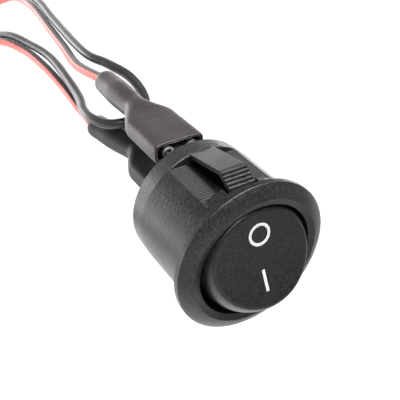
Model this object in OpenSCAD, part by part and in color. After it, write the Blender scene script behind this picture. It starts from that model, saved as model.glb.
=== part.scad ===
/* [Bezel] */
// Outer diameter of the bezel
bezel_d = 23; // [22.4:0.1:26]
// Thickness of the bezel, from the panel seat to its front face
bezel_t = 2; // [1.6:0.1:3]
// Height of the straight side band of the bezel
bezel_side_h = 0.85; // [0.6:0.05:1.2]
// Radius of the edge between the side band and the crowned front
bezel_edge_r = 0.2; // [0.1:0.05:0.3]
// Bulge of the crowned front between its outer edge and the mouth
bezel_crown = 0.12; // [0.05:0.01:0.2]
// Diameter where the crowned front breaks into the mouth chamfer
mouth_d = 19.2; // [18.4:0.1:19.6]
// Depth of the mouth chamfer
mouth_chamfer = 0.3; // [0.15:0.05:0.5]

/* [Barrel] */
// Outer diameter of the barrel
barrel_d = 20; // [19.8:0.05:20.1]
// Length of the barrel behind the panel seat
barrel_l = 14.75; // [14:0.25:18]
// Length of the taper at the tail of the barrel
tail_taper_l = 2.85; // [1:0.05:3]
// Diameter of the tail face
tail_d = 19.6; // [18.8:0.1:19.8]
// Thickness of the rear wall that holds the terminals
rear_wall_t = 1.5; // [1.2:0.1:2.5]
// Diameter of the opening that the rocker fills
opening_d = 17.3; // [17.2:0.1:17.7]

/* [Snap wings] */
// Width of a snap wing
wing_w = 3.9; // [3:0.1:5]
// Height of the wing crest over the barrel
wing_rise = 1.3; // [0.8:0.1:1.6]
// Thickness of a wing
wing_t = 0.6; // [0.5:0.05:0.9]
// Distance from the panel seat to the wing crest
wing_crest_y = 4.2; // [3.8:0.1:5]
// Distance from the panel seat to the free tip of the wing
wing_tip_y = 1.9; // [1.7:0.1:2.4]
// Ribs on the front slope of a wing
wing_ribs = 5; // [3:1:7]
// Gap beside a wing
wing_side_gap = 0.6; // [0.4:0.05:0.9]
// Gap in front of the wing's tip
wing_front_gap = 0.2; // [0.15:0.05:0.4]
// Height of the ribbed flats over the axis
flat_h = 8.45; // [8.4:0.05:8.7]
// Distance from the panel seat to the front end of a flat
flat_front_y = 2.9; // [2.8:0.1:3.4]
// Distance from the panel seat to the rear end of a flat
flat_rear_y = 11.9; // [11:0.1:12.4]
// Pitch of the fine ribs across a flat
rib_pitch = 0.5; // [0.4:0.1:1]
// Height of the fine ribs
rib_h = 0.06; // [0.04:0.02:0.2]
// Width of the broken edge at the rear end of a flat
flat_edge = 0.16; // [0.1:0.02:0.24]

/* [Rocker] */
// Distance from the panel seat back to the rocker's pivot axis
pivot_y = 1.15; // [1:0.05:1.4]
// Diameter of the rocker's skirt
skirt_d = 16.2; // [15.8:0.1:16.3]
// Radius of the arc that draws the rocker's side wall in to its rim
side_arc_r = 5.7; // [5.4:0.1:6.5]
// Height over the pivot where that arc starts
side_arc_h = 1.5; // [1.2:0.1:1.8]
// Length of the skirt behind the pivot
skirt_back = 0.5; // [0.2:0.1:0.6]
// Height of the middle of the dished face over the pivot
face_h = 4.45; // [4.2:0.05:4.7]
// Radius of the dish across the face
dish_r = 25.5; // [22:0.5:40]
// Wall of the rocker
rocker_wall = 1.1; // [0.9:0.1:1.4]
// Tilt of the rocker either side of its middle
rocker_tilt = 20; // [16:1:20]
// Diameter of the pivot pins
pin_d = 2; // [1.6:0.1:2.4]
// Distance of the pin ends from the middle
pin_reach = 9.3; // [9.1:0.1:9.4]
// Running clearance round a pivot pin
pin_clear = 0.05; // [0.03:0.01:0.09]

/* [Plunger] */
// Diameter of the plunger
plunger_d = 2.4; // [2:0.1:2.6]
// Radius of the rounded plunger tip
tip_r = 0.8; // [0.6:0.1:1]
// Gap between the plunger tip and the lever when the rocker stands level
tip_gap = 0.15; // [0.1:0.05:0.3]
// Running clearance round the plunger
plunger_clear = 0.05; // [0.03:0.01:0.08]
// Outer diameter of the guide boss in the rocker
boss_d = 4.4; // [4:0.1:5]
// Length of the guide boss behind the pivot
boss_back = 4.6; // [3.5:0.1:5]
// Distance from the pivot to the rear end of the spring
spring_end = 2.2; // [1.6:0.1:3]
// Wire diameter of the spring
spring_wire = 0.3; // [0.2:0.05:0.35]
// Turns of the spring
spring_turns = 6; // [4:1:8]

/* [Contact lever] */
// Distance from the rear wall to the lever's fulcrum
fulcrum_back = 2.7; // [2.6:0.05:2.9]
// Bend of each lever arm towards the rocker
lever_bend = 13; // [10:1:15]
// Swing of the lever from open to closed
lever_swing = 14; // [12:0.5:14]
// Width of the lever
lever_w = 3.9; // [3:0.1:4.2]
// Thickness of the lever
lever_t = 0.5; // [0.4:0.05:0.6]
// Length of the upper arm
arm_up = 5.7; // [5.4:0.1:6]
// Length of the lower arm
arm_down = 4.3; // [4:0.1:4.6]
// Diameter of the fulcrum pins
fulcrum_d = 0.9; // [0.8:0.05:1.1]
// Running clearance round a fulcrum pin
fulcrum_clear = 0.05; // [0.03:0.01:0.08]
// Distance along the upper arm to the contact rivet
rivet_at = 4.8; // [4.4:0.1:5]
// Diameter of the contact rivet heads
rivet_d = 2.2; // [1.8:0.1:2.4]
// Height of the moving rivet head
rivet_h = 0.5; // [0.4:0.05:0.7]

/* [Terminals] */
// Width of a blade terminal
blade_w = 4.8; // [4.6:0.1:5]
// Thickness of the terminal strip
blade_t = 0.8; // [0.7:0.05:0.9]
// Length of a blade behind the barrel
blade_out = 8; // [7:0.25:9]
// Height of the switched blade over the axis
switched_z = 6.75; // [6.5:0.05:6.8]
// Height of the common blade over the axis
common_z = -1.1; // [-1.6:0.1:-0.8]
// Clearance of a blade in its slot
slot_clear = 0.05; // [0.03:0.01:0.1]

/* [Receptacles] */
// Gap between the barrel and a receptacle's mouth
mouth_gap = 3.3; // [2:0.1:3.6]
// Length of the rolled part of a receptacle
roll_l = 8.3; // [7.5:0.1:8.5]
// Outer width of a receptacle
receptacle_w = 5.94; // [5.8:0.02:6.1]
// Thickness of the receptacle sheet
sheet_t = 0.37; // [0.3:0.01:0.4]
// Diameter of the wire insulation
wire_d = 1.75; // [1.5:0.05:1.8]
// Diameter of the bare conductor
core_d = 1; // [0.8:0.05:1.1]
// Height of the wire's axis over the blade's middle
crimp_z = 0.3; // [0.25:0.01:0.4]

/* [Sleeves] */
// Gap between the receptacle's mouth and the sleeve's front edge
sleeve_setback = 0.15; // [0:0.05:2]
// Width of a sleeve over the receptacle
sleeve_w = 8.3; // [7.2:0.1:8.6]
// Height of a sleeve over the receptacle
sleeve_h = 3.9; // [3.5:0.05:4.2]
// Height of a sleeve's top face over the blade's middle
sleeve_top_z = 1.85; // [1.75:0.05:2.1]
// Radius of a sleeve's upper corners
sleeve_top_r = 0.8; // [0.7:0.05:1.2]
// Radius of a sleeve's lower corners
sleeve_base_r = 1.5; // [0.7:0.1:1.7]
// Wall of a sleeve
sleeve_wall = 0.5; // [0.35:0.05:0.6]
// Length of the wide part of a sleeve
sleeve_wide_l = 9.4; // [9:0.1:11]
// Length of the shoulder of a sleeve
shoulder_l = 4.95; // [3.5:0.05:6]
// Length of the tube part of a sleeve
tube_l = 12.2; // [11:0.1:15]
// Diameter of the tube part of a sleeve
tube_d = 4.15; // [4:0.05:4.6]
// Extra diameter where the tube grips the crimp
tube_bulge = 0.3; // [0.1:0.1:0.6]
// Sideways swing of the lower sleeve's tube, in degrees
lower_swing = 12; // [8:1:12]

/* [Leads] */
// Length of bare tinned wire at each lead's end
tip_l = 6; // [4:0.5:8]

/* [Hidden] */

$fn = 64;
eps = 0.01;
black_plastic = [0.17, 0.17, 0.17];
rocker_black = [0.12, 0.12, 0.12];
sleeve_grey = [0.3, 0.28, 0.28];
wire_black = [0.13, 0.13, 0.13];
brass = [0.8, 0.66, 0.36];
tin = [0.78, 0.78, 0.78];
silver = [0.88, 0.87, 0.84];
nylon = [0.9, 0.88, 0.82];
steel = [0.62, 0.62, 0.64];

barrel_r = barrel_d / 2;
skirt_r = skirt_d / 2;
rear_in_y = barrel_l - rear_wall_t;
fulcrum_y = rear_in_y - fulcrum_back;
tip_reach = fulcrum_y - pivot_y - lever_t / 2 - tip_gap;
well_back_y = 4.7;
well_back_r = 7.8;
cavity_top = 7.4;
cavity_bottom = -5.4;
cavity_half_w = 3.7;
pocket_floor = cavity_top + 0.5;
pad_y = rear_in_y - 0.85;
pad_z = 2.6;
receptacle_y = barrel_l + mouth_gap;
sleeve_y = receptacle_y + sleeve_setback;
neck_y = sleeve_y + sleeve_wide_l + shoulder_l;
crimp_1_y = receptacle_y + roll_l + 2.8;
crimp_1_l = 4;
crimp_2_y = crimp_1_y + crimp_1_l + 1;
crimp_2_l = 3;
wire_start_y = crimp_1_y + crimp_1_l + 0.5;
blade_clear = 0.03;
crimp_clear = 0.05;
crimp_2_d = wire_d + 2 * crimp_clear + 2 * sheet_t;
sleeve_end_wall = 1.6;
swing_y = neck_y - 0.6;

// Routes of the leads, as the point where each one leaves its crimp and the points behind it
upper_striped_route = [[0, 45.2, 7.05], [-0.4, 55.6, 5.6], [1.3, 67, 4.8], [2.8, 79, 4.4], [4.6, 95, 3.9],
                       [4.4, 109, 1.9], [0, 119.5, -3.5], [-5, 124.5, -13], [-7.5, 126.5, -38]];
lower_striped_route = [[-2.8, 45.2, -0.8], [-2.6, 52, -0.6], [-2.1, 60, -0.4], [-2, 70, -0.1],
                       [-2.5, 81, -0.4], [-4.6, 92, -1.6], [-8.5, 101.5, -5.5], [-11, 106.5, -14],
                       [-12.3, 108.5, -38]];
plain_route = [[-5.6, 126.6, -38], [-3.1, 125, -13.2], [1.6, 120.7, -3.1], [6, 109.6, 2.9], [6.1, 95, 5],
               [4.3, 79, 5.5], [2.4, 59, 6.4], [3.5, 51, 6.9], [4.8, 45, 6.6], [5.1, 40.4, 5.3],
               [3.8, 36.8, 4.3], [0.6, 35.3, 3.5], [-2.7, 36.7, 2.9], [-4.2, 40.4, 2.5], [-4.1, 45, 2.1],
               [-2.3, 52.5, 1.7], [-0.3, 70, 1.2], [-1, 81.2, 0.6], [-3.1, 92.7, -0.6],
               [-7, 102.6, -4.9], [-9.1, 106.9, -14], [-10.4, 108.7, -38]];

function unit(v) = v / norm(v);

// Point a share t of the way along the smooth curve through b and c, with a before and d after
function spline_point(a, b, c, d, t) =
    0.5 * (2 * b + (c - a) * t + (2 * a - 5 * b + 4 * c - d) * t * t
           + (3 * b - a - 3 * c + d) * t * t * t);

// Smooth curve through the points, with the given number of steps between two of them
function smooth_route(p, steps) = let (n = len(p) - 1) concat(
    [for (i = [0 : n - 1]) for (k = [0 : steps - 1])
        spline_point(p[max(i - 1, 0)], p[i], p[i + 1], p[min(i + 2, n)], k / steps)],
    [p[n]]);

// Direction of the route at each of its points
function directions(p) = let (n = len(p) - 1)
    [for (i = [0 : n]) unit(p[min(i + 1, n)] - p[max(i - 1, 0)])];

// Side direction carried along the route without twist
function sides_along(t, first) =
    [for (i = 0, u = unit(first - t[0] * (first * t[0])); i < len(t);
          i = i + 1, u = i < len(t) ? unit(u - t[i] * (u * t[i])) : u) u];

// Round tube of radius r swept along the points, with the given number of sides
module tube(p, r, sides, first) {
    t = directions(p);
    u = sides_along(t, first);
    n = len(p);
    rings = [for (i = [0 : n - 1]) for (k = [0 : sides - 1])
        p[i] + r * (cos(360 * k / sides) * u[i] + sin(360 * k / sides) * cross(t[i], u[i]))];
    skin = [for (i = [0 : n - 2]) for (k = [0 : sides - 1])
        let (a = i * sides + k, b = i * sides + (k + 1) % sides) each [
            [a, b, b + sides], [a, b + sides, a + sides]]];
    front = [for (k = [sides - 1 : -1 : 0]) k];
    back = [for (k = [0 : sides - 1]) (n - 1) * sides + k];
    polyhedron(points = rings, faces = concat([front], skin, [back]), convexity = 10);
}

// Turns a profile drawn as radius and distance behind the panel seat round the switch's axis
module round_about_axis() {
    rotate([-90, 0, 0]) rotate_extrude() children();
}

// Extrudes a profile drawn as distance behind the seat and height, w wide and centred
module side_profile(w) {
    translate([-w / 2, 0, 0]) rotate([90, 0, 90]) linear_extrude(w) children();
}

// Places a shape drawn with Z out of the rocker's face and its origin on the pivot
module on_rocker() {
    translate([0, pivot_y, 0]) rotate([90 - rocker_tilt, 0, 0]) children();
}

// Places a shape drawn on the closed lever's middle line, swung to where it rests
module on_lever() {
    translate([0, fulcrum_y, 0]) rotate([lever_swing / 2, 0, 0]) children();
}

// Outer form of the bezel and barrel
module housing_blank() {
    slope = atan2(bezel_t - bezel_side_h, (bezel_d - mouth_d) / 2);
    chord = norm([bezel_t - bezel_side_h, (bezel_d - mouth_d) / 2]);
    edge_turn = 90 - slope - 2 * atan(2 * bezel_crown / chord);
    edge_x = bezel_d / 2 - bezel_edge_r;
    outer = [edge_x + bezel_edge_r * cos(edge_turn), -bezel_side_h - bezel_edge_r * sin(edge_turn)];
    inner = [mouth_d / 2, -bezel_t];
    along = unit(outer - inner);
    bulge_way = [along[1], -along[0]];
    round_about_axis() polygon(concat(
        [[0, -bezel_t]],
        [for (t = [0 : 0.1 : 0.99]) inner + (outer - inner) * t
            + bulge_way * 4 * bezel_crown * t * (1 - t)],
        [for (k = [4 : -1 : 0]) [edge_x + bezel_edge_r * cos(edge_turn * k / 4),
                                 -bezel_side_h - bezel_edge_r * sin(edge_turn * k / 4)]],
        [[bezel_d / 2, -0.12], [bezel_d / 2 - 0.12, 0], [barrel_r, 0],
         [barrel_r, barrel_l - tail_taper_l], [tail_d / 2, barrel_l], [0, barrel_l]]));
}

// Mouth, and the well in which the rocker's skirt swings
module rocker_well() {
    round_about_axis() polygon([[0, -bezel_t - 1], [mouth_d / 2, -bezel_t - 1], [mouth_d / 2, -bezel_t],
                                [opening_d / 2, -bezel_t + mouth_chamfer], [opening_d / 2, 0.9],
                                [skirt_r + 0.02, flat_front_y], [well_back_r, well_back_y],
                                [0, well_back_y]]);
    for (s = [-1, 1])
        translate([s * (pin_reach / 2 + 0.15), pivot_y, 0]) rotate([0, 90, 0])
            cylinder(d = pin_d + 2 * pin_clear, h = pin_reach, center = true);
}

// Space behind the rocker for the lever and the inner ends of the terminals
module contact_cavity() {
    translate([-cavity_half_w, well_back_y - 1, cavity_bottom])
        cube([2 * cavity_half_w, rear_in_y - well_back_y + 1, pad_z - cavity_bottom]);
    translate([-cavity_half_w, well_back_y - 1, pad_z - 1])
        cube([2 * cavity_half_w, pad_y - well_back_y + 1, cavity_top - pad_z + 1]);
    for (z = [switched_z, common_z])
        translate([-blade_w / 2 - slot_clear, pad_y - 0.5, z - blade_t / 2 - slot_clear])
            cube([blade_w + 2 * slot_clear, barrel_l, blade_t + 2 * slot_clear]);
}

// Flat cut across the barrel, with fine ribs left standing along it
module ribbed_flat_cut() {
    ribs = floor((flat_rear_y - flat_front_y) / rib_pitch);
    side_profile(barrel_d) polygon(concat(
        [[flat_front_y, barrel_r + 3], [flat_front_y, flat_h]],
        [for (i = [0 : ribs - 1]) each [
            [flat_front_y + (i + 0.3) * rib_pitch, flat_h],
            [flat_front_y + (i + 0.5) * rib_pitch, flat_h + rib_h],
            [flat_front_y + (i + 0.8) * rib_pitch, flat_h + rib_h],
            [flat_front_y + (i + 1) * rib_pitch, flat_h]]],
        [[flat_rear_y, flat_h], [flat_rear_y, barrel_r + 3]]));
    intersection() {
        round_about_axis() polygon([[barrel_r - flat_edge, flat_rear_y - eps],
                                    [barrel_r + flat_edge, flat_rear_y - eps],
                                    [barrel_r + flat_edge, flat_rear_y + 2 * flat_edge]]);
        translate([-barrel_r, 0, flat_h]) cube([barrel_d, barrel_l, barrel_r]);
    }
}

// Room for the wing to bend into, shallow over the rocker's well and deeper behind it
module wing_slot() {
    slot_w = wing_w + 2 * wing_side_gap;
    front_y = wing_tip_y - wing_front_gap;
    deep_y = well_back_y + 0.5;
    translate([-slot_w / 2, front_y, flat_h + 0.4]) cube([slot_w, flat_rear_y - front_y, 5]);
    translate([-slot_w / 2, deep_y, pocket_floor]) cube([slot_w, flat_rear_y - deep_y, 5]);
}

// Spring wing that grips the panel, a cantilever from the tail
module wing() {
    crest_z = barrel_r + wing_rise;
    tip_z = barrel_r - 0.3;
    root_z = barrel_r - 0.22;
    rib_l = (wing_crest_y - wing_tip_y) / wing_ribs;
    fall = (crest_z - tip_z) / wing_ribs;
    side_profile(wing_w) polygon(concat(
        [[flat_rear_y + 0.6, root_z], [wing_crest_y + 0.5, crest_z - 0.05], [wing_crest_y, crest_z]],
        [for (i = [0 : wing_ribs - 1]) each [
            [wing_crest_y - (i + 0.55) * rib_l, crest_z - (i + 0.25) * fall],
            [wing_crest_y - (i + 0.7) * rib_l, crest_z - (i + 1.1) * fall],
            [wing_crest_y - (i + 1) * rib_l, crest_z - (i + 1) * fall]]],
        [[wing_tip_y, tip_z - 0.55], [wing_tip_y + 0.4, tip_z - 0.6],
         [wing_crest_y + 0.4, crest_z - wing_t - 0.1], [flat_rear_y, root_z - wing_t],
         [flat_rear_y + 0.6, root_z - wing_t]]));
}

module housing() {
    color(black_plastic) {
        difference() {
            housing_blank();
            rocker_well();
            contact_cavity();
            for (m = [0, 1]) mirror([0, 0, m]) {
                ribbed_flat_cut();
                wing_slot();
            }
        }
        for (m = [0, 1]) mirror([0, 0, m]) wing();
    }
}

// Side outline of the rocker turned about its own axis, from the skirt to far above the face
module rocker_solid(inset) {
    rotate_extrude() intersection() {
        union() {
            translate([skirt_r - side_arc_r, side_arc_h]) circle(side_arc_r - inset);
            translate([0, -skirt_back - 1]) square([skirt_r - inset, skirt_back + side_arc_h + 1]);
        }
        translate([0, -skirt_back]) square([skirt_r + 1, 9]);
    }
}

// Everything over the dished face, lowered by the inset
module over_face(inset) {
    translate([0, 0, face_h + dish_r - inset]) rotate([0, 90, 0])
        cylinder(r = dish_r, h = 4 * skirt_d, center = true, $fn = 180);
}

module rocker() {
    color(rocker_black) on_rocker() difference() {
        union() {
            difference() {
                rocker_solid(0);
                over_face(0);
                difference() {
                    translate([0, 0, -eps]) rocker_solid(rocker_wall);
                    over_face(rocker_wall);
                }
            }
            translate([0, 0, -boss_back]) cylinder(d = boss_d, h = boss_back + face_h - rocker_wall / 2);
            translate([-skirt_r + rocker_wall / 2, -0.5, -skirt_back])
                cube([skirt_d - rocker_wall, 1, skirt_back + face_h - rocker_wall / 2]);
            for (s = [-1, 1]) translate([s * (pin_reach + skirt_r - rocker_wall) / 2, 0, 0])
                rotate([0, 90, 0])
                    cylinder(d = pin_d, h = pin_reach - skirt_r + rocker_wall, center = true);
        }
        translate([0, 0, -boss_back - 1]) cylinder(d = plunger_d + 2 * plunger_clear, h = boss_back + 1 + 2.4);
    }
}

module plunger() {
    color(nylon) on_rocker() rotate([180, 0, 0]) rotate_extrude() intersection() {
        union() {
            translate([0, spring_end]) square([plunger_d / 2, tip_reach - tip_r - 1.2 - spring_end]);
            polygon([[0, tip_reach - tip_r - 1.2 - eps], [plunger_d / 2, tip_reach - tip_r - 1.2 - eps],
                     [plunger_d / 2, tip_reach - tip_r - 1.2], [tip_r, tip_reach - tip_r],
                     [0, tip_reach - tip_r]]);
            translate([0, tip_reach - tip_r]) circle(tip_r, $fn = 32);
        }
        square([plunger_d, tip_reach + 1]);
    }
}

module plunger_spring() {
    coil_r = plunger_d / 2 - spring_wire / 2 - 0.05;
    low = -2.4 + spring_wire / 2;
    high = spring_end - spring_wire / 2;
    per_turn = 12;
    color(steel) on_rocker() rotate([180, 0, 0]) tube(
        [for (i = [0 : spring_turns * per_turn])
            [coil_r * cos(360 * i / per_turn), coil_r * sin(360 * i / per_turn),
             low + (high - low) * i / (spring_turns * per_turn)]],
        spring_wire / 2, 6, [0, 0, 1]);
}

// Lever drawn about its fulcrum, both arms bent towards the rocker
module contact_lever() {
    fulcrum_reach = cavity_half_w - 0.5;
    bend_y = tan(lever_bend);
    color(brass) on_lever() {
        side_profile(lever_w) polygon([
            [-lever_t / 2, 0], [-lever_t / 2 - arm_up * sin(lever_bend), arm_up * cos(lever_bend)],
            [lever_t / 2 - arm_up * sin(lever_bend), arm_up * cos(lever_bend)], [lever_t / 2, 0],
            [lever_t / 2 - arm_down * sin(lever_bend), -arm_down * cos(lever_bend)],
            [-lever_t / 2 - arm_down * sin(lever_bend), -arm_down * cos(lever_bend)]]);
        rotate([0, 90, 0]) cylinder(d = fulcrum_d, h = 2 * fulcrum_reach, center = true);
    }
}

// Places a shape on the back of the upper arm, drawn with Z away from the arm
module on_upper_arm() {
    on_lever() rotate([lever_bend, 0, 0]) translate([0, lever_t / 2, rivet_at]) rotate([-90, 0, 0])
        children();
}

module moving_contact() {
    color(silver) on_upper_arm() rotate_extrude() polygon([
        [0, 0], [rivet_d / 2, 0], [rivet_d / 2, rivet_h * 0.6], [rivet_d / 2 - 0.3, rivet_h],
        [0, rivet_h]]);
}

// Height and depth of the moving rivet's face when the lever is closed
closed_turn = lever_bend - lever_swing / 2;
meet_y = fulcrum_y - rivet_at * sin(closed_turn) + (lever_t / 2 + rivet_h) * cos(closed_turn);
meet_z = rivet_at * cos(closed_turn) + (lever_t / 2 + rivet_h) * sin(closed_turn);
flange_y = pad_y - blade_t;

module fixed_contact() {
    reach = 0.06;
    color(silver) difference() {
        translate([0, flange_y, meet_z]) rotate([90, 0, 0])
            cylinder(d = rivet_d, h = flange_y - meet_y + rivet_d / 2);
        translate([0, meet_y + reach, meet_z]) rotate([closed_turn, 0, 0])
            translate([-rivet_d, -4 * rivet_d, -2 * rivet_d]) cube([2 * rivet_d, 4 * rivet_d, 4 * rivet_d]);
    }
}

// Tongue of a blade terminal, from the given depth to its bevelled end
module blade(from_y, z) {
    end_y = barrel_l + blade_out;
    difference() {
        translate([0, 0, z - blade_t / 2]) linear_extrude(blade_t) polygon([
            [-blade_w / 2, from_y], [blade_w / 2, from_y], [blade_w / 2, end_y - 1],
            [blade_w / 2 - 0.7, end_y], [-blade_w / 2 + 0.7, end_y], [-blade_w / 2, end_y - 1]]);
        translate([0, end_y - 3.2, z]) cylinder(d = 1.4, h = 2 * blade_t, center = true);
    }
}

module switched_terminal() {
    color(brass) {
        blade(flange_y, switched_z);
        translate([-blade_w / 2, flange_y, meet_z - rivet_d / 2 - 0.3])
            cube([blade_w, blade_t, switched_z - meet_z + rivet_d / 2 + 0.3]);
    }
}

module common_terminal() {
    ear_x = cavity_half_w - 0.5 - 0.8;
    ear_h = 1.7;
    base_y = rear_in_y - blade_t;
    color(brass) difference() {
        union() {
            blade(base_y, common_z);
            translate([-blade_w / 2, base_y, common_z - blade_t / 2])
                cube([blade_w, blade_t, ear_h / 2 - common_z + blade_t / 2]);
            for (s = [-1, 1]) translate([s * (ear_x + 0.4), 0, 0]) {
                translate([-0.4, fulcrum_y - 0.3, -ear_h / 2])
                    cube([0.8, rear_in_y - fulcrum_y + 0.3, ear_h]);
            }
            translate([-ear_x - 0.8, base_y, -ear_h / 2]) cube([2 * ear_x + 1.6, blade_t, ear_h]);
        }
        translate([0, fulcrum_y, 0]) rotate([0, 90, 0])
            cylinder(d = fulcrum_d + 2 * fulcrum_clear, h = 4 * cavity_half_w, center = true);
    }
}

// Push-on receptacle at the given blade height, its crimps swung sideways behind the neck
module receptacle(z, swing) {
    roll_r = 0.97;
    roll_x = receptacle_w / 2 - roll_r;
    base_z = -blade_t / 2 - sheet_t - blade_clear;
    blade_room = blade_w / 2 + blade_clear;
    color(tin) translate([0, 0, z]) {
        translate([0, receptacle_y + roll_l, 0]) rotate([90, 0, 0]) linear_extrude(roll_l) {
            translate([-roll_x, base_z]) square([2 * roll_x, sheet_t]);
            for (s = [-1, 1]) difference() {
                translate([s * roll_x, base_z + roll_r]) circle(roll_r);
                translate([s * roll_x, base_z + roll_r]) circle(roll_r - sheet_t);
                translate([s > 0 ? 0 : -blade_room, base_z + sheet_t])
                    square([blade_room, blade_t + 2 * blade_clear]);
            }
        }
        translate([0, 0, base_z]) linear_extrude(sheet_t) polygon([
            [-roll_x, receptacle_y + roll_l - eps], [roll_x, receptacle_y + roll_l - eps],
            [0.9, crimp_1_y - 0.5], [0.9, crimp_1_y + crimp_1_l * 0.4], [-0.9, crimp_1_y + crimp_1_l * 0.4],
            [-0.9, crimp_1_y - 0.5]]);
        swung(swing) {
            crimp_ring(crimp_1_y, crimp_1_l, core_d + 2 * crimp_clear, 0.45);
            crimp_ring(crimp_2_y, crimp_2_l, wire_d + 2 * crimp_clear, sheet_t);
            translate([-0.5, crimp_1_y, crimp_z - crimp_2_d / 2 + 0.08])
                cube([1, crimp_2_y + crimp_2_l - crimp_1_y, sheet_t - 0.1]);
        }
    }
}

// Turns what lies behind the neck of a sleeve sideways by the swing
module swung(swing) {
    translate([0, swing_y, 0]) rotate([0, 0, swing]) translate([0, -swing_y, 0]) children();
}

// Crimp rolled round a wire, with its seam on top
module crimp_ring(y, l, bore, wall) {
    translate([0, y + l, crimp_z]) rotate([90, 0, 0]) linear_extrude(l) difference() {
        circle(d = bore + 2 * wall);
        circle(d = bore);
        translate([-0.06, 0]) square([0.12, bore + 2 * wall]);
    }
}

module upper_receptacle() { receptacle(switched_z, 0); }
module lower_receptacle() { receptacle(common_z, lower_swing); }

// Bare end of the conductor in its crimp, up to where the insulation starts
module conductor(z, swing) {
    color(tin) translate([0, 0, z]) swung(swing)
        translate([0, crimp_1_y - 0.4, crimp_z]) rotate([-90, 0, 0])
            cylinder(d = core_d, h = wire_start_y - crimp_1_y + 0.4);
}

module upper_conductor() { conductor(switched_z, 0); }
module lower_conductor() { conductor(common_z, lower_swing); }

// Four posts that a hull turns into the flat part of a sleeve, shrunk by the inset
module sleeve_posts(y, l, inset) {
    base_z = sleeve_top_z - sleeve_h;
    for (x = [-1, 1]) {
        translate([x * (sleeve_w / 2 - sleeve_top_r), y, sleeve_top_z - sleeve_top_r])
            rotate([-90, 0, 0]) cylinder(r = sleeve_top_r - inset, h = l, $fn = 32);
        translate([x * (sleeve_w / 2 - sleeve_base_r), y, base_z + sleeve_base_r])
            rotate([-90, 0, 0]) cylinder(r = sleeve_base_r - inset, h = l, $fn = 32);
    }
}

// One disc of the tube part of a sleeve
module sleeve_disc(y, d, l) {
    translate([0, y, crimp_z]) rotate([-90, 0, 0]) cylinder(d = d, h = l, $fn = 32);
}

module sleeve(z, swing) {
    wide_end = sleeve_y + sleeve_wide_l;
    tube_end = neck_y + tube_l;
    bore_d = crimp_2_d + 2 * crimp_clear;
    color(sleeve_grey) translate([0, 0, z]) difference() {
        union() {
            hull() { sleeve_posts(sleeve_y, 0.2, 0); sleeve_posts(wide_end - 0.2, 0.2, 0); }
            hull() { sleeve_posts(wide_end - 0.2, 0.2, 0); swung(swing) sleeve_disc(neck_y - 0.2, tube_d, 0.2); }
            swung(swing) {
                hull() {
                    sleeve_disc(neck_y - 0.2, tube_d, 0.2);
                    sleeve_disc(neck_y + tube_l / 2, tube_d + tube_bulge, 0.2);
                }
                hull() {
                    sleeve_disc(neck_y + tube_l / 2, tube_d + tube_bulge, 0.2);
                    sleeve_disc(tube_end - 0.6, tube_d, 0.2);
                    sleeve_disc(tube_end - 0.2, tube_d - 0.7, 0.2);
                }
            }
        }
        hull() { sleeve_posts(sleeve_y - 1, 0.2, sleeve_wall); sleeve_posts(wide_end - 0.2, 0.2, sleeve_wall); }
        hull() {
            sleeve_posts(wide_end - 0.4, 0.2, sleeve_wall);
            swung(swing) sleeve_disc(neck_y - 0.2, bore_d, 0.3);
        }
        swung(swing) {
            sleeve_disc(neck_y - 0.3, bore_d, tube_l + 0.3 - sleeve_end_wall);
            translate([0, neck_y, crimp_z]) rotate([-90, 0, 0]) cylinder(d = wire_d + 0.2, h = tube_l + 5);
        }
    }
}

module upper_sleeve() { sleeve(switched_z, 0); }
module lower_sleeve() { sleeve(common_z, lower_swing); }

// Point on a wire's axis behind the neck, at distance y, after the swing
function swung_point(y, z, swing) = [(swing_y - y) * sin(swing), swing_y + (y - swing_y) * cos(swing),
                                     z + crimp_z];

// Part of a wire inside its sleeve, then the route behind it
function wire_path(z, swing, route) = concat(
    [swung_point(wire_start_y, z, swing), swung_point(neck_y + tube_l - 2, z, swing)],
    smooth_route(route, 2));

module upper_striped_wire() {
    color(wire_black) tube(wire_path(switched_z, 0, upper_striped_route), wire_d / 2, 8, [1, 0, 0]);
}

module lower_striped_wire() {
    color(wire_black)
        tube(wire_path(common_z, lower_swing, lower_striped_route), wire_d / 2, 8, [1, 0, 0]);
}

module plain_wire() {
    color(wire_black) tube(smooth_route(plain_route, 2), wire_d / 2, 8, [1, 0, 0]);
}

// Bare tinned wire hanging on from the end of a lead
module tinned_tip(p) {
    color(tin) translate(p - [0, 0, tip_l]) cylinder(d = core_d, h = tip_l);
}

module upper_striped_tip() { tinned_tip(upper_striped_route[len(upper_striped_route) - 1]); }
module lower_striped_tip() { tinned_tip(lower_striped_route[len(lower_striped_route) - 1]); }
module plain_wire_tips() {
    tinned_tip(plain_route[0]);
    tinned_tip(plain_route[len(plain_route) - 1]);
}

housing();
rocker();
plunger();
plunger_spring();
contact_lever();
moving_contact();
fixed_contact();
switched_terminal();
common_terminal();
upper_receptacle();
lower_receptacle();
upper_conductor();
lower_conductor();
upper_sleeve();
lower_sleeve();
upper_striped_wire();
lower_striped_wire();
plain_wire();
upper_striped_tip();
lower_striped_tip();
plain_wire_tips();
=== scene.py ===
"""Round snap-in rocker switch, dressed: moulded plastics, soft sleeves, plated metal and twin lead.

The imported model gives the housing, the terminals and the inner works. This file finishes them,
draws the rocker and its marks, the soft sleeves and the leads as smooth surfaces, and sets up the
studio. Sizes are in millimetres unless a class says otherwise, and meshes are in metres.
"""

import logging
import math
from dataclasses import dataclass, field
from enum import Enum

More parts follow.
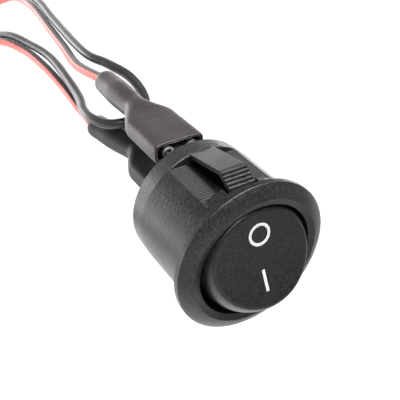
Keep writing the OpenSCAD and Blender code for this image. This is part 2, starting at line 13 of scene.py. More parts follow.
import bpy
import numpy as np
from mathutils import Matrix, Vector


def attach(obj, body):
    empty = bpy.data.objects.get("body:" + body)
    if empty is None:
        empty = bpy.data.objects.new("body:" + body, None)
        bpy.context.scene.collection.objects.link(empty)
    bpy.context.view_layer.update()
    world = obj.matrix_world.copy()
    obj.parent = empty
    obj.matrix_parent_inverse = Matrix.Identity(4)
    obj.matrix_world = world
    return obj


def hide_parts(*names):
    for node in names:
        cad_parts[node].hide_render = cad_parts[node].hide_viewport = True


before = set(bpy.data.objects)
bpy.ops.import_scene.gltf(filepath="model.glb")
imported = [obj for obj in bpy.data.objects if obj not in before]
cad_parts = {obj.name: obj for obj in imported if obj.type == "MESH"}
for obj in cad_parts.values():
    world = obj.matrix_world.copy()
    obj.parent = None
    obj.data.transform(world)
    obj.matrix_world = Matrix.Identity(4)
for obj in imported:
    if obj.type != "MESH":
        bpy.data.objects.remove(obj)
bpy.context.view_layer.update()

log = logging.getLogger("switch")
MM = 0.001

Array = np.ndarray
Piece = bpy.types.Object
Socket = bpy.types.NodeSocket
Sockets = bpy.types.bpy_prop_collection
Point = tuple[float, float, float]
Route = tuple[Point, ...]
Pair = tuple[float, float]
Colour = tuple[float, float, float, float]
Change = tuple[Pair, float, float]
WHITE: Colour = (1.0, 1.0, 1.0, 1.0)


def srgb(*levels: float) -> Colour:
    """Linear colour, with alpha 1, of a display colour's red, green and blue from 0 to 255.

    Args:
        levels: Red, green and blue.

    Returns:
        Linear red, green, blue and alpha.
    """
    c = np.array(levels) / 255.0
    linear = np.where(c <= 0.04045, c / 12.92, ((c + 0.055) / 1.055) ** 2.4)
    return (*linear.tolist(), 1.0)


def add_object(name: str, data: bpy.types.ID) -> Piece:
    """Puts new data into the scene as an object at the origin and returns the object.

    Args:
        name: Name of the object.
        data: Mesh, lamp or camera.

    Returns:
        The object.
    """
    made = bpy.data.objects.new(name, data)
    bpy.context.scene.collection.objects.link(made)
    return made


# --- surfaces ---


def round_angles(count: int, first: float = 0.0) -> Array:
    """Angles of a full turn in equal steps, the first one a share of a step in."""
    return (np.arange(count) + first) * 2 * math.pi / count


def signed_power(x: Array, power: float | Array) -> Array:
    """Power of the size of x with the sign of x. On a sine and a cosine it gives a rounded box."""
    return np.sign(x) * np.abs(x) ** power


def grid_of(*values: float | Array) -> Array:
    """Grid whose points, patterns or faces are made of the given values, spread over it."""
    return np.stack(np.broadcast_arrays(*values), axis=-1)


def smooth_step(x: Array) -> Array:
    """Rises from 0 to 1 with level ends: 3 x squared less 2 x cubed, on x held between 0 and 1."""
    t = np.clip(x, 0.0, 1.0)
    return t * t * (3.0 - 2.0 * t)


def eased(x: Array, at: list[float], values: list[float]) -> Array:
    """Curve through the given values, level at each of them.

    Between two stations it is the first value plus the difference times the smooth step of the
    share of the way.

    Args:
        x: Where the curve is wanted.
        at: Stations, rising.
        values: Value at each station.

    Returns:
        The values at x.
    """
    result = np.full_like(x, values[0], dtype=float)
    for start, end, low, high in zip(at[:-1], at[1:], values[:-1], values[1:]):
        result = result + (high - low) * smooth_step((x - start) / (end - start))
    return result


def smooth_route(points: Array, steps: int) -> Array:
    """Smooth curve through the points, by the same rule as the solid's route.

    Between b and c, with a before and d after, the point a share t of the way along is
    half of (2b + (c - a)t + (2a - 5b + 4c - d)t squared + (3b - a - 3c + d)t cubed).

    Args:
        points: Control points, one a row.
        steps: Steps between two of them.

    Returns:
        Points along the curve, one a row.
    """
    padded = np.vstack([points[:1], points, points[-1:]])[:, None, :]
    a, b, c, d = padded[:-3], padded[1:-2], padded[2:-1], padded[3:]
    t = (np.arange(steps) / steps)[None, :, None]
    curve = 0.5 * (2 * b + (c - a) * t + (2 * a - 5 * b + 4 * c - d) * t**2
                   + (3 * b - a - 3 * c + d) * t**3)
    return np.vstack([curve.reshape(-1, 3), points[-1:]])


def lay_pattern(mesh: bpy.types.Mesh, uv: Array, quads: int) -> None:
    """Gives a mesh its pattern. On the faces that close the seam, column 0 is a whole turn.

    Args:
        mesh: Mesh of a grid.
        uv: Pattern coordinates, rows by columns by two, the first as a share of a turn.
        quads: Number of the grid's own faces, which come before the caps.
    """
    corners = np.zeros(len(mesh.loops), dtype=np.int32)
    mesh.loops.foreach_get("vertex_index", corners)
    values = uv.reshape(-1, 2)[corners]
    across = values[: quads * 4].reshape(-1, 4, 2)[..., 0]
    closing = np.ptp(across, axis=1, keepdims=True) > 0.5
    across[closing & (across < 0.5)] += 1.0
    mesh.uv_layers.new(name="along").data.foreach_set("uv", values.ravel())


def piece_from_grid(name: str, points: Array, wrap_rows: bool = False, uv: Array | None = None,
                    flip: bool = False) -> Piece:
    """Closed mesh object from a grid of points whose columns go round.

    Args:
        name: Name of the piece.
        points: Grid in millimetres, rows by columns by three.
        wrap_rows: Whether the last row joins the first. If not, a flat face closes each end.
        uv: Pattern coordinates, rows by columns by two.
        flip: Whether the faces are turned over, to point outwards.

    Returns:
        The new object, at the origin.
    """
    rows, columns = points.shape[:2]
    # A face joins a point, the next one round and the two below them.
    i = np.arange(rows if wrap_rows else rows - 1)[:, None]
    j = np.arange(columns)[None, :]
    below, right = (i + 1) % rows * columns, (j + 1) % columns
    quads = grid_of(i * columns + j, i * columns + right, below + right, below + j).reshape(-1, 4)
    faces = quads.tolist()
    if not wrap_rows:
        first = list(range(columns))
        last = [(rows - 1) * columns + k for k in first]
        faces += [first[::-1], last]
    if flip:
        faces = [face[::-1] for face in faces]
    mesh = bpy.data.meshes.new(name)
    mesh.from_pydata((points.reshape(-1, 3) * MM).tolist(), [], faces)
    if uv is not None:
        lay_pattern(mesh, uv, len(quads))
    mesh.polygons.foreach_set("use_smooth", [True] * len(mesh.polygons))
    mesh.update()
    return add_object(name, mesh)


def swept_tube(path: Array, radius: float, sides: int) -> Array:
    """Grid of a tube: each path point plus the radius times the cosine of the angle along the side
    direction and the sine along the third direction.

    The side direction starts along X and is carried without twist: at each point it is the last
    one, less its part along the path.

    Args:
        path: Points of the centre line, one a row.
        radius: Radius of the tube.
        sides: Points round.

    Returns:
        The points, rings by sides by three.
    """
    step = np.vstack([path[1:], path[-1:]]) - np.vstack([path[:1], path[:-1]])
    along = step / np.linalg.norm(step, axis=1, keepdims=True)
    side = np.zeros_like(along)
    carried = np.array([1.0, 0.0, 0.0])
    for ring, way in enumerate(along):
        carried = carried - way * float(carried @ way)
        carried = carried / np.linalg.norm(carried)
        side[ring] = carried
    third = np.cross(along, side)
    angle = round_angles(sides)[None, :, None]
    ring = np.cos(angle) * side[:, None, :] + np.sin(angle) * third[:, None, :]
    return path[:, None, :] + radius * ring


# --- finishes ---


class NodePen:
    """Writes nodes and links into one node tree."""

    def __init__(self, tree: bpy.types.NodeTree) -> None:
        """Starts on an empty tree."""
        self.tree = tree
        self.tree.nodes.clear()

    def feed(self, target: Socket, value: object) -> None:
        """Links a socket to an input, or sets the input to a plain value."""
        if isinstance(value, Socket):
            self.tree.links.new(value, target)
        else:
            target.default_value = value

    def node(self, kind: str, settings: dict[str, object] | None = None,
             **values: object) -> bpy.types.Node:
        """Adds a node.

        Args:
            kind: Blender's name of the node type.
            settings: Properties to set on the node.
            **values: Values or sockets for its inputs, by name with _ for a space, or by n and the
                input's number.

        Returns:
            The node.
        """
        made = self.tree.nodes.new(kind)
        for key, value in (settings or {}).items():
            setattr(made, key, value)
        for key, value in values.items():
            numbered = key[0] == "n" and key[1:].isdigit()
            self.feed(made.inputs[int(key[1:]) if numbered else key.replace("_", " ")], value)
        return made

    def math(self, operation: str, *terms: object) -> Socket:
        """Works a Math node on the given terms and returns its result."""
        made = self.node("ShaderNodeMath", {"operation": operation},
                         **{f"n{i}": term for i, term in enumerate(terms)})
        return made.outputs[0]

    def tint(self, colour: object, factor: object) -> Socket:
        """Multiplies a colour by a number and returns the colour."""
        made = self.node("ShaderNodeVectorMath", {"operation": "SCALE"}, n0=colour, Scale=factor)
        return made.outputs[0]

    def mix(self, share: object, first: object, second: object) -> Socket:
        """Mixes two colours by a share and returns the colour."""
        made = self.node("ShaderNodeMix", {"data_type": "RGBA"}, n0=share, n6=first, n7=second)
        return made.outputs[2]

    def blend(self, share: object, first: object, second: object) -> Socket:
        """Mixes two numbers by a share and returns the number."""
        made = self.node("ShaderNodeMix", {"data_type": "FLOAT"}, n0=share, n2=first, n3=second)
        return made.outputs[0]

    def noise(self, vector: object, scale: object, detail: float, roughness: float = 0.5) -> Socket:
        """Adds a noise texture and returns its level."""
        made = self.node("ShaderNodeTexNoise", Vector=vector, Scale=scale, Detail=detail,
                         Roughness=roughness)
        return made.outputs[0]

    def ramp(self, value: object, reach: Pair, low: object, high: object,
             kind: str = "SMOOTHSTEP") -> Socket:
        """Carries one level over into another while a value crosses a stretch.

        Args:
            value: The value.
            reach: Start and end of the stretch.
            low: Level up to its start.
            high: Level from its end.
            kind: Blender's name of the way, a smooth step or LINEAR.

        Returns:
            The level.
        """
        made = self.node("ShaderNodeMapRange", {"interpolation_type": kind}, Value=value,
                         n1=reach[0], n2=reach[1], n3=low, n4=high)
        return made.outputs[0]

    def place(self, kind: str) -> Sockets:
        """X, Y and Z of one kind of texture coordinates, as sockets by name."""
        whole = self.node("ShaderNodeTexCoord").outputs[kind]
        return self.node("ShaderNodeSeparateXYZ", Vector=whole).outputs


class EffectPen(NodePen):
    """Writes one shared effect as a node group."""

    def __init__(self, name: str, inputs: str, outputs: str) -> None:
        """Starts the group. Colour and Vector sockets are of those kinds, the others are numbers.

        Args:
            name: Name of the effect.
            inputs: Names of its inputs, with spaces between them.
            outputs: Names of its outputs, in the same way.
        """
        super().__init__(bpy.data.node_groups.new(name, "ShaderNodeTree"))
        kinds = {"Colour": "NodeSocketColor", "Vector": "NodeSocketVector"}
        for way, labels in (("INPUT", inputs), ("OUTPUT", outputs)):
            for label in labels.split():
                self.tree.interface.new_socket(name=label, in_out=way,
                                               socket_type=kinds.get(label, "NodeSocketFloat"))
        self.given = self.node("NodeGroupInput").outputs

    def give(self, **results: Socket) -> bpy.types.NodeTree:
        """Links the results to the group's outputs by name and returns the group."""
        self.node("NodeGroupOutput", **results)
        return self.tree


@dataclass
class Effects:
    """Shared effects, each built once as a node group. Places and sizes are in metres."""

    dust: Colour = srgb(150, 147, 143)
    shade: Colour = srgb(3, 3, 3)
    hollow_x: Pair = (0.0025, 0.0032)
    hollow_z: Pair = (0.0086, 0.0090)
    behind_bezel: Pair = (0.0016, 0.0022)
    flat_z: float = 0.00849
    flat_skin: Pair = (0.0001, 0.00016)
    flat_roughness: float = 0.62

    def __post_init__(self) -> None:
        """Builds the groups."""
        self.moulded = self.make_moulded()
        self.handled = self.make_handled()
        self.hollow = self.make_hollow()
        self.drawn = self.make_drawn()

    def make_moulded(self) -> bpy.types.NodeTree:
        """Spark-eroded mould texture: a fine grain in tone and height, the tone about a middle.

        Returns:
            The effect's node tree.
        """
        pen = EffectPen("moulded_grain", "Colour Vector Grain Spread", "Colour Height")
        vector, grain = pen.given["Vector"], pen.given["Grain"]
        pits_a_grain, pit_share, middle = 0.8, 0.3, 0.45
        fine = pen.noise(vector, grain, detail=3.0, roughness=0.6)
        pits = pen.node("ShaderNodeTexVoronoi", Vector=vector,
                        Scale=pen.math("MULTIPLY", grain, pits_a_grain)).outputs["Distance"]
        height = pen.blend(pit_share, fine, pits)
        swing = pen.math("MULTIPLY", pen.math("SUBTRACT", height, middle), pen.given["Spread"])
        tinted = pen.tint(pen.given["Colour"], pen.math("ADD", swing, 1.0))
        return pen.give(Colour=tinted, Height=height)

    def make_handled(self) -> bpy.types.NodeTree:
        """Uneven sheen left by handling and by the melt's flow, a slow change of roughness, with
        sparse specks of dust.

        Returns:
            The effect's node tree.
        """
        pen = EffectPen("handled_sheen", "Colour Vector Size Dull Bright Dust", "Colour Roughness")
        vector, size = pen.given["Vector"], pen.given["Size"]
        specks_a_blotch = 14.0
        slow = pen.noise(vector, size, detail=4.0, roughness=0.55)
        level = pen.ramp(slow, (0.3, 0.7), pen.given["Bright"], pen.given["Dull"], "LINEAR")
        specks = pen.noise(vector, pen.math("MULTIPLY", size, specks_a_blotch), detail=2.0)
        share = pen.ramp(specks, (0.66, 0.8), 0.0, pen.given["Dust"], "LINEAR")
        return pen.give(Colour=pen.mix(share, pen.given["Colour"], self.dust), Roughness=level)

    def make_hollow(self) -> bpy.types.NodeTree:
        """Shade in the hollows beside and under the panel wings, inside a box about the housing's
        middle line, in width and height, on both sides. The ribbed flats, a thin layer by height,
        are duller than the rest.

        Returns:
            The effect's node tree.
        """
        pen = EffectPen("hollow_shade", "Colour Roughness Vector", "Colour Roughness")
        at = pen.node("ShaderNodeSeparateXYZ", Vector=pen.given["Vector"]).outputs
        width, height = pen.math("ABSOLUTE", at["X"]), pen.math("ABSOLUTE", at["Z"])
        behind = pen.ramp(at["Y"], self.behind_bezel, 0.0, 1.0)
        box = pen.math("MULTIPLY", pen.ramp(width, self.hollow_x, 1.0, 0.0),
                       pen.ramp(height, self.hollow_z, 1.0, 0.0))
        inside = pen.math("MULTIPLY", box, behind)
        off_flat = pen.math("ABSOLUTE", pen.math("SUBTRACT", height, self.flat_z))
        on_flat = pen.ramp(off_flat, self.flat_skin, self.flat_roughness, 0.0, "LINEAR")
        rough = pen.math("MAXIMUM", pen.math("MAXIMUM", pen.given["Roughness"], inside),
                         pen.math("MULTIPLY", on_flat, behind))
        return pen.give(Colour=pen.mix(inside, pen.given["Colour"], self.shade), Roughness=rough)

    def make_drawn(self) -> bpy.types.NodeTree:
        """Rolling and drawing marks on metal: noise stretched along the piece, under a slow one.

        Returns:
            The effect's node tree.
        """
        pen = EffectPen("drawn_marks", "Colour Vector Scale", "Colour Roughness Height")
        vector, scale = pen.given["Vector"], pen.given["Scale"]
        along, clouds_a_line, contrast, base = (1.0, 0.05, 1.0), 0.15, 0.3, 0.7
        stretched = pen.node("ShaderNodeMapping", Vector=vector, Scale=along).outputs[0]
        lines = pen.noise(stretched, scale, detail=4.0, roughness=0.65)
        cloud = pen.noise(vector, pen.math("MULTIPLY", scale, clouds_a_line), detail=2.0)
        tone = pen.math("MULTIPLY", pen.math("ADD", lines, cloud), contrast)
        tinted = pen.tint(pen.given["Colour"], pen.math("ADD", tone, base))
        rough = pen.ramp(cloud, (0.3, 0.7), 0.2, 0.38, "LINEAR")
        return pen.give(Colour=tinted, Roughness=rough, Height=lines)


class MaterialPen(NodePen):
    """Writes one material: a shader fed by the shared effects, in the object's own coordinates."""

    def __init__(self, name: str) -> None:
        """Starts the material with its shader.

        Args:
            name: Name of the material.
        """
        self.material = bpy.data.materials.new(name)
        self.material.use_nodes = True
        super().__init__(self.material.node_tree)
        self.shader = self.node("ShaderNodeBsdfPrincipled")
        self.node("ShaderNodeOutputMaterial", Surface=self.shader.outputs[0])
        self.vector = self.node("ShaderNodeTexCoord").outputs["Object"]

    def effect(self, tree: bpy.types.NodeTree, **values: object) -> Sockets:
        """Adds a shared effect and returns its outputs."""
        group = {"node_tree": tree}
        return self.node("ShaderNodeGroup", group, Vector=self.vector, **values).outputs

    def coat(self, looks: Sockets, height: Socket, depth: float) -> None:
        """Links colour, roughness and relief to the shader.

        Args:
            looks: Outputs of the effect that gives Colour and Roughness.
            height: Relief to link.
            depth: Depth of the relief, in metres.
        """
        bump = self.node("ShaderNodeBump", Strength=1.0, Distance=depth, Height=height)
        self.feed(self.shader.inputs["Base Color"], looks["Colour"])
        self.feed(self.shader.inputs["Roughness"], looks["Roughness"])
        self.feed(self.shader.inputs["Normal"], bump.outputs[0])


@dataclass(frozen=True)
class Stripe:
    """Stripe printed along the middle of a tube's pattern, with widths as shares of a turn."""

    colour: Colour
    width: float = 0.3
    edge: Pair = (-0.006, 0.012)
    ragged: float = 0.012
    scale: float = 2600.0
    tone: float = 0.85
    contrast: float = 0.3

    def over(self, pen: MaterialPen, colour: Socket) -> Socket:
        """Lays the stripe over a colour. One noise makes its edge and its tone waver.

        Args:
            pen: Pen on the material.
            colour: Colour beside the stripe.

        Returns:
            The colour with the stripe.
        """
        noise = pen.noise(pen.vector, self.scale, detail=3.0)
        along = pen.node("ShaderNodeUVMap", {"uv_map": "along"}).outputs[0]
        turn = pen.node("ShaderNodeSeparateXYZ", Vector=along).outputs["X"]
        away = pen.math("ABSOLUTE", pen.math("SUBTRACT", turn, 0.5))
        edge = pen.math("ADD", away, pen.math("MULTIPLY", noise, self.ragged))
        reach = tuple(self.width / 2 + side for side in self.edge)
        tone = pen.math("ADD", pen.math("MULTIPLY", noise, self.contrast), self.tone)
        inside = pen.ramp(edge, reach, 1.0, 0.0, "LINEAR")
        return pen.mix(inside, colour, pen.tint(self.colour[:3], tone))


@dataclass(frozen=True)
class PlasticFinish:
    """Moulded or extruded plastic with a fine grain. Patterns are in repeats a metre."""

    colour: Colour
    grain: float = 5200.0
    spread: float = 0.5
    depth: float = 0.00002
    bright: float = 0.4
    dull: float = 0.52
    blotch: float = 260.0
    dust: float = 0.05
    sheen: float = 0.0
    stripe: Stripe | None = None
    hollows: bool = False

    def paint(self, pen: MaterialPen, effects: Effects) -> None:
        """Lays the grain, any stripe, the handling and, where the piece has hollows, their shade.

        Args:
            pen: Pen on the material.
            effects: The shared effects.
        """
        grain = pen.effect(effects.moulded, Colour=self.colour, Grain=self.grain,
                           Spread=self.spread)
        colour = self.stripe.over(pen, grain["Colour"]) if self.stripe else grain["Colour"]
        looks = pen.effect(effects.handled, Colour=colour, Size=self.blotch, Dull=self.dull,
                           Bright=self.bright, Dust=self.dust)
        if self.hollows:
            looks = pen.effect(effects.hollow, Colour=looks["Colour"],
                               Roughness=looks["Roughness"])
        pen.coat(looks, grain["Height"], self.depth)
        pen.feed(pen.shader.inputs["Sheen Weight"], self.sheen)


@dataclass(frozen=True)
class MetalFinish:
    """Plated or bare metal with drawing marks, in repeats a metre."""

    colour: Colour
    scale: float = 9000.0
    depth: float = 0.00001

    def paint(self, pen: MaterialPen, effects: Effects) -> None:
        """Lays the drawing marks on a metallic shader.

        Args:
            pen: Pen on the material.
            effects: The shared effects.
        """
        drawn = pen.effect(effects.drawn, Colour=self.colour, Scale=self.scale)
        pen.coat(drawn, drawn["Height"], self.depth)
        pen.feed(pen.shader.inputs["Metallic"], 1.0)


SOFT = {"grain": 3000.0, "spread": 2.6, "depth": 0.00006, "blotch": 320.0}
WIRE = {"grain": 3800.0, "spread": 0.35, "depth": 0.00001, "bright": 0.25, "dull": 0.36,
        "blotch": 180.0, "dust": 0.03}


class Look(Enum):
    """The finishes of this switch: name of the material and its recipe."""

    HOUSING = "housing_plastic", PlasticFinish(srgb(26, 26, 26), 3600.0, spread=5.0, depth=0.000045,
                                               bright=0.28, dull=0.38, hollows=True)
    ROCKER = "rocker_plastic", PlasticFinish(srgb(24, 24, 25), 4000.0, spread=3.6, depth=0.00003,
                                             bright=0.27, dull=0.35)
    MARK = "white_mark", PlasticFinish(srgb(178, 178, 176), spread=0.05, dust=0.0)
    NYLON = "natural_nylon", PlasticFinish(srgb(228, 224, 210), spread=0.08)
    SLEEVE = "soft_vinyl", PlasticFinish(srgb(43, 36, 37), bright=0.36, dull=0.46, sheen=0.08,
                                         **SOFT)
    # Lower sleeve's copy of the soft vinyl: rougher, and darker in colour as painted shade from the
    # upper sleeve above it.
    SHADED_DULL_SLEEVE = "shaded_dull_vinyl", PlasticFinish(srgb(25, 21, 21), bright=0.44, dull=0.54, **SOFT)
    PLAIN_WIRE = "plain_vinyl", PlasticFinish(srgb(44, 44, 45), **WIRE)
    STRIPED_WIRE = "striped_vinyl", PlasticFinish(srgb(42, 42, 43), **WIRE,
                                                  stripe=Stripe(srgb(214, 70, 58)))
    TIN = "tin_plate", MetalFinish(srgb(214, 213, 210))
    BRASS = "sheet_brass", MetalFinish(srgb(206, 178, 118))
    SILVER = "contact_silver", MetalFinish(srgb(226, 224, 220))
    STEEL = "spring_steel", MetalFinish(srgb(170, 171, 174))
    COPPER = "tinned_strands", MetalFinish(srgb(204, 200, 194), scale=5000.0)


class Finishes:
    """Makes each finish once and hands it out."""

    def __init__(self) -> None:
        """Builds the shared effects and every finish."""
        effects = Effects()
        self.made: dict[Look, bpy.types.Material] = {}
        for look in Look:
            name, recipe = look.value
            pen = MaterialPen(name)
            recipe.paint(pen, effects)
            self.made[look] = pen.material

    def dress(self, piece: Piece, look: Look) -> None:
        """Gives a piece one finish all over.

        Args:
            piece: New piece or carried-over node.
            look: The finish.
        """
        if not piece.material_slots:
            piece.data.materials.append(self.made[look])
        for held in piece.material_slots:
            held.link = "OBJECT"
            held.material = self.made[look]


# --- studio ---


@dataclass
class Studio:
    """White floor, soft lamps, camera and world.

    A change has a stretch, the level before it and the level after it. Stretches are in metres on
    the table and in parts of a unit direction in the room. The levels of the table and of the room
    show in reflections only.
    """

    camera_at: Point = (-41.32, -55.63, 58.25)
    azimuth: float = -31.23
    elevation: float = 35.62
    lens: float = 60.66
    clip: Pair = (0.001, 20.0)
    floor_z: float = -46.0
    floor_half: float = 3.0
    paper: Colour = (0.86, 0.86, 0.86, 1.0)
    reflected: Colour = (1.0, 0.975, 0.96, 1.0)
    glow_share: float = 0.82
    table: Change = ((-0.01, 0.02), 1.7, 1.0)
    table_y: Pair = (-0.07, -0.01)
    front: float = 0.3
    front_y: Pair = (-0.115, -0.085)
    far_front: Change = ((0.04, 0.07), 1.2, 0.3)
    shaded: Change = ((0.068, 0.082), 1.0, 0.5)
    behind: Change = ((0.088, 0.125), 0.0, 2.4)
    soft_level: float = 0.6
    room: Change = ((-0.5, 0.5), 0.2, 0.42)
    wall: Change = ((0.76, 0.9), 0.0, 4.6)
    to_right: Change = ((-0.4, 0.4), 1.0, 0.5)
    to_top: Change = ((0.1, 0.4), 1.0, 0.12)
    lamps: tuple[tuple[str, Point, Pair, float], ...] = (
        ("overhead", (0.1, -0.18, 0.73), (0.8, 0.34), 15.0),
        ("behind", (-0.52, 1.0, 0.1), (0.5, 0.25), 1.0))

    def build(self) -> None:
        """Makes the camera, the floor, the lamps and the world."""
        self.place_camera()
        self.lay_floor()
        self.hang_lamps()
        self.light_world()
        bpy.context.scene.view_settings.view_transform = "Standard"

    def place_camera(self) -> None:
        """Sets the camera by its place and by its azimuth and elevation."""
        data = bpy.data.cameras.new("camera")
        data.lens = self.lens
        data.clip_start, data.clip_end = self.clip
        camera = add_object("camera", data)
        camera.location = Vector(self.camera_at) * MM
        camera.rotation_euler = (math.radians(90 - self.elevation), 0, math.radians(self.azimuth))
        bpy.context.scene.camera = camera

    def lay_floor(self) -> None:
        """Lays the pale floor under the lead ends. It shows white and keeps the shadow, and
        reflections see it bright under the object and darker towards the front."""
        half, z = self.floor_half, self.floor_z * MM
        mesh = bpy.data.meshes.new("floor")
        corners = [(-half, -half, z), (half, -half, z), (half, half, z), (-half, half, z)]
        mesh.from_pydata(corners, [], [(0, 1, 2, 3)])
        material = bpy.data.materials.new("floor_white")
        material.use_nodes = True
        mesh.materials.append(material)
        pen = NodePen(material.node_tree)
        ray = pen.node("ShaderNodeLightPath").outputs
        at = pen.place("Object")
        front = pen.ramp(at["Y"], self.front_y, pen.ramp(at["X"], *self.far_front), self.front)
        table = pen.ramp(at["Y"], self.table_y, front, pen.ramp(at["X"], *self.table))
        shaded = pen.math("MULTIPLY", table, pen.ramp(at["Y"], *self.shaded))
        level = pen.math("ADD", shaded, pen.ramp(at["Y"], *self.behind))
        glow = pen.node("ShaderNodeEmission",
                        Color=pen.mix(ray["Is Glossy Ray"], WHITE, self.reflected),
                        Strength=pen.blend(ray["Is Glossy Ray"], 1.0, level))
        share = pen.math("MAXIMUM", ray["Is Glossy Ray"],
                         pen.math("MULTIPLY", ray["Is Camera Ray"], self.glow_share))
        paper = pen.node("ShaderNodeBsdfDiffuse", Color=self.paper)
        mixed = pen.node("ShaderNodeMixShader", Fac=share, n1=paper.outputs[0], n2=glow.outputs[0])
        pen.node("ShaderNodeOutputMaterial", Surface=mixed.outputs[0])
        floor = add_object("floor", mesh)

    def hang_lamps(self) -> None:
        """Hangs each soft lamp by its name, place and sides in metres, and watts, turned towards
        the origin."""
        for name, at, sides, power in self.lamps:
            data = bpy.data.lights.new(name, "AREA")
            data.shape = "RECTANGLE"
            data.size, data.size_y = sides
            data.energy = power
            lamp = add_object(name, data)
            lamp.location = at
            lamp.rotation_euler = Vector(at).to_track_quat("Z", "Y").to_euler()

    def light_world(self) -> None:
        """Lights everything evenly, shows white behind the object, and gives reflections a room
        that is dark at the front and bright at the back, less so to the right and higher up."""
        world = bpy.data.worlds.new("studio")
        bpy.context.scene.world = world
        world.use_nodes = True
        pen = NodePen(world.node_tree)
        ray = pen.node("ShaderNodeLightPath").outputs
        way = pen.place("Generated")
        wall = pen.math("MULTIPLY", pen.ramp(way["Y"], *self.wall),
                        pen.ramp(way["X"], *self.to_right))
        low = pen.math("ADD", pen.ramp(way["Y"], *self.room), wall)
        room = pen.math("MULTIPLY", low, pen.ramp(way["Z"], *self.to_top))
        plain = pen.blend(ray["Is Camera Ray"], self.soft_level, 1.0)
        level = pen.blend(ray["Is Glossy Ray"], plain, room)
        sky = pen.node("ShaderNodeBackground", Color=WHITE, Strength=level)
        pen.node("ShaderNodeOutputWorld", Surface=sky.outputs[0])


# --- leads ---


@dataclass
class Lead:
    """One insulated core, swept along the route of its solid."""

    node: str
    route: Route
    exit: Point
    length: float
    look: Look
    tips: tuple[str, ...]
    start: Route = ()
    diameter: float = 1.75
    sides: int = 28
    steps: int = 14

    def centre_line(self) -> Array:
        """The straight start inside the sleeve, a joint, then the smooth curve.

        Returns:
            Points of the centre line.
        """
        curve = smooth_route(np.array(self.route), self.steps)
        if not self.start:
            return curve
        joint = np.linspace(self.start[1], curve[0], 8)[1:-1]
        return np.vstack([np.linspace(*self.start, 12), joint, curve])

    def build(self, finishes: Finishes) -> Piece:
        """Makes the core. Its pattern runs round in shares of a turn and along in metres.

        Args:
            finishes: The finishes.

        Returns:
            The core.
        """
        path = self.centre_line()
        run = np.concatenate([[0.0], np.cumsum(np.linalg.norm(np.diff(path, axis=0), axis=1))])
        uv = grid_of(np.arange(self.sides) / self.sides, run[:, None] * MM)
        core = piece_from_grid(self.node + "_core", swept_tube(path, self.diameter / 2, self.sides),
                               uv=uv)
        finishes.dress(core, self.look)
        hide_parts(self.node)
        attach(core, "switch_body")
        return core


@dataclass
class StrandedTip:
    """Bare tinned end of a core: a bundle of strands laid in a slow twist."""

    name: str
    top: Point
    length: float = 6.0
    radius: float = 0.5
    dip: float = 0.16
    strands: int = 7
    strand_columns: int = 8
    pitch: float = 9.0
    rows: int = 40

    def build(self, finishes: Finishes) -> Piece:
        """Makes the bundle, a column whose radius dips between strands, turning with height.

        Args:
            finishes: The finishes.

        Returns:
            The bundle.
        """
        down = np.linspace(0.0, self.length, self.rows)[:, None]
        angle = round_angles(self.strands * self.strand_columns)
        phase = self.strands * (angle - 2 * math.pi * down / self.pitch) / 2
        radius = self.radius * (1 - self.dip + self.dip * np.abs(np.cos(phase)))
        radius = radius * eased(down, [0, self.length - 0.5, self.length], [1, 1, 0.8])
        x, y, z = self.top
        grid = grid_of(x + radius * np.cos(angle), y + radius * np.sin(angle), z - down)
        piece = piece_from_grid(self.name, grid, flip=True)
        finishes.dress(piece, Look.COPPER)
        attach(piece, "switch_body")
        return piece


@dataclass
class TwinLead:
    """The three cores and their bare ends, along the routes of the solids."""

    upper_route: Route = (
        (0, 45.2, 7.05), (-0.4, 55.6, 5.6), (1.3, 67, 4.8), (2.8, 79, 4.4), (4.6, 95, 3.9),
        (4.4, 109, 1.9), (0, 119.5, -3.5), (-5, 124.5, -13), (-7.5, 126.5, -38))
    lower_route: Route = (
        (-2.8, 45.2, -0.8), (-2.6, 52, -0.6), (-2.1, 60, -0.4), (-2, 70, -0.1), (-2.5, 81, -0.4),
        (-4.6, 92, -1.6), (-8.5, 101.5, -5.5), (-11, 106.5, -14), (-12.3, 108.5, -38))
    plain_route: Route = (
        (-5.6, 126.6, -38), (-3.1, 125, -13.2), (1.6, 120.7, -3.1), (6, 109.6, 2.9), (6.1, 95, 5),
        (4.3, 79, 5.5), (2.4, 59, 6.4), (3.5, 51, 6.9), (4.8, 45, 6.6), (5.1, 40.4, 5.3),
        (3.8, 36.8, 4.3), (0.6, 35.3, 3.5), (-2.7, 36.7, 2.9), (-4.2, 40.4, 2.5), (-4.1, 45, 2.1),
        (-2.3, 52.5, 1.7), (-0.3, 70, 1.2), (-1, 81.2, 0.6), (-3.1, 92.7, -0.6), (-7, 102.6, -4.9),
        (-9.1, 106.9, -14), (-10.4, 108.7, -38))

    def build(self, finishes: Finishes) -> None:
        """Makes the tips, then the cores.

        Args:
            finishes: The looks to dress the pieces in.
        """
        ends = {"upper_striped_tip_strands": self.upper_route[-1],
                "lower_striped_tip_strands": self.lower_route[-1],
                "plain_wire_tip_a_strands": self.plain_route[0],
                "plain_wire_tip_b_strands": self.plain_route[-1]}
        made = {name: StrandedTip(name, end).build(finishes) for name, end in ends.items()}
        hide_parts("upper_striped_tip")
        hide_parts("lower_striped_tip")
        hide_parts("plain_wire_tips")
        for lead in (
                Lead("upper_striped_wire", self.upper_route, (0, 44.75, 7.05), 125.7,
                     Look.STRIPED_WIRE, ("upper_striped_tip",),
                     start=((0, 33.65, 7.05), (0, 42.75, 7.05))),
                Lead("lower_striped_wire", self.lower_route, (-2.66, 44.5, -0.8), 104.8,
                     Look.STRIPED_WIRE, ("lower_striped_tip",),
                     start=((-0.35, 33.61, -0.8), (-2.25, 42.51, -0.8))),
                Lead("plain_wire", self.plain_route, self.plain_route[0], 236.0,
                     Look.PLAIN_WIRE, ("plain_wire_tip_a", "plain_wire_tip_b"))):
            report("lead", lead.build(finishes))


# --- sleeves ---


